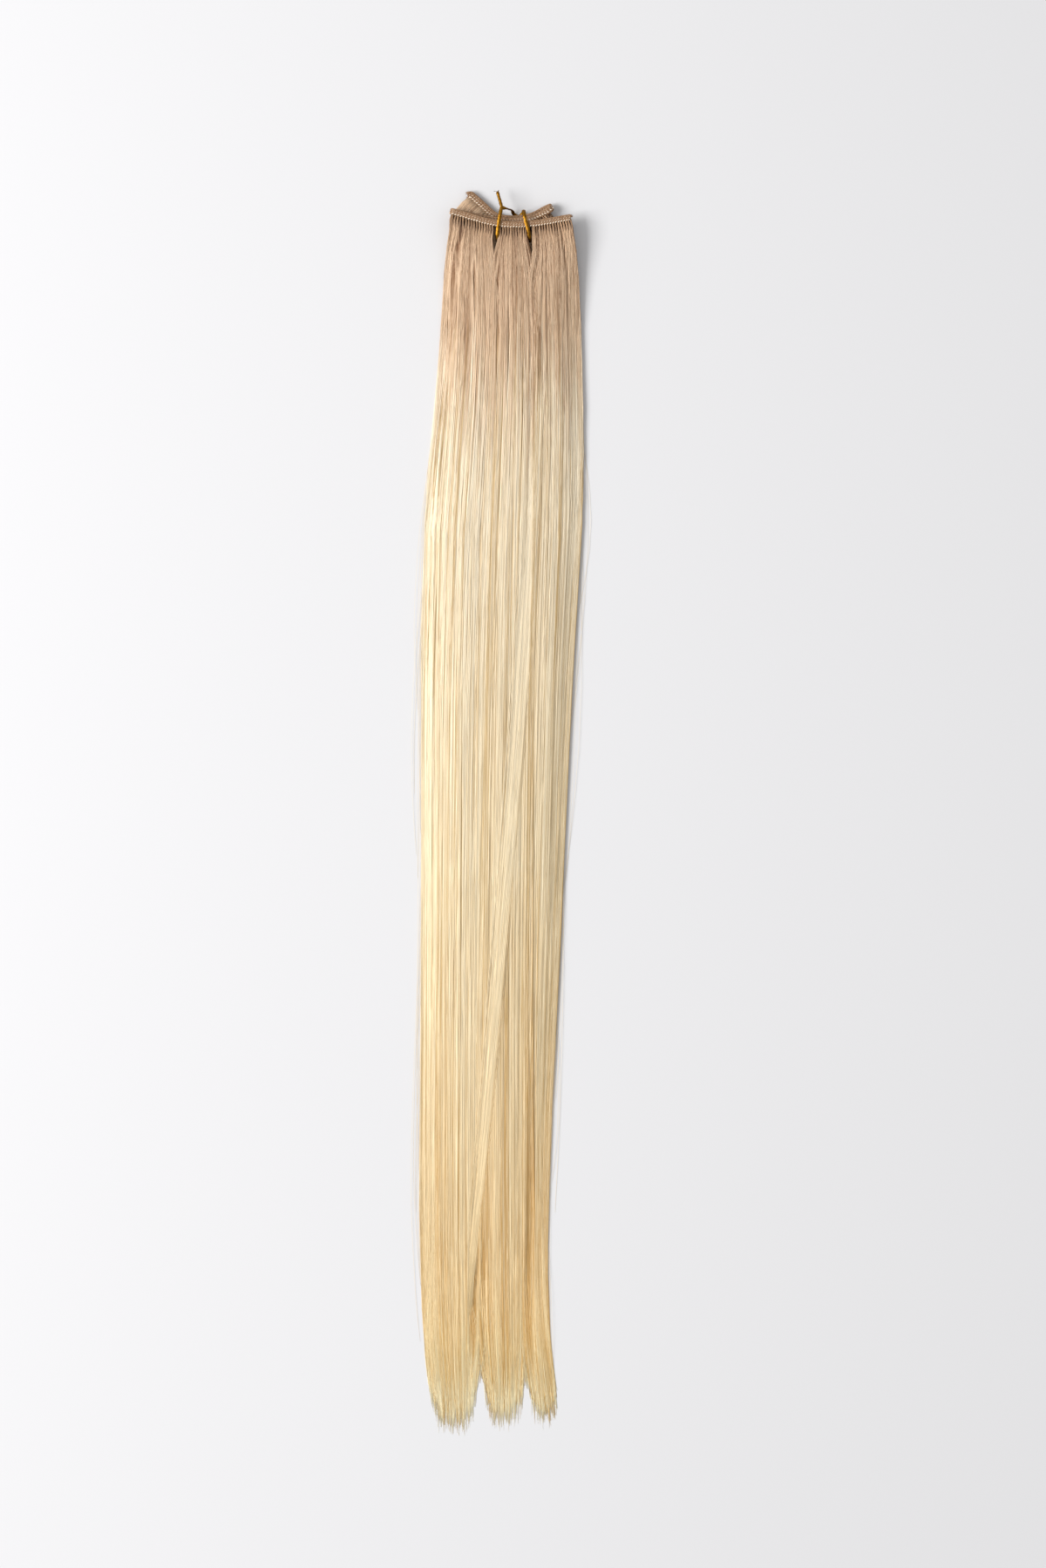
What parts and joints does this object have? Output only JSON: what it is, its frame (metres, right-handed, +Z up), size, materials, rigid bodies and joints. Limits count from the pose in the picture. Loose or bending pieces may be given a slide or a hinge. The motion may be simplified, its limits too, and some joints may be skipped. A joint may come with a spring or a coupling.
{
  "type": "hair weft",
  "caption": "Straight rooted-blonde machine hair weft lying flat, its sewn seam folded on itself and held by a gold twist tie.",
  "frame": {"origin": "on the surface that the weft lies on, under the middle of its box", "axes": "+Y along the hair from the tips towards the seam, +X across the hair, +Z up from the surface"},
  "size_m": [0.0822, 0.6178, 0.0104],
  "materials": {
    "hair": "straight blonde hair, tan at the roots, with a soft sheen",
    "seam": "hair roots sewn in a band with pale thread",
    "tie": "shiny gold foil over a flat wire"
  },
  "bodies": {
    "root": {"seam_strip": "seam", "hair_front_left": "hair", "hair_front_middle": "hair", "hair_front_right": "hair", "hair_inner": "hair", "hair_back": "hair", "twist_tie": "tie"}
  },
  "joints": []
}
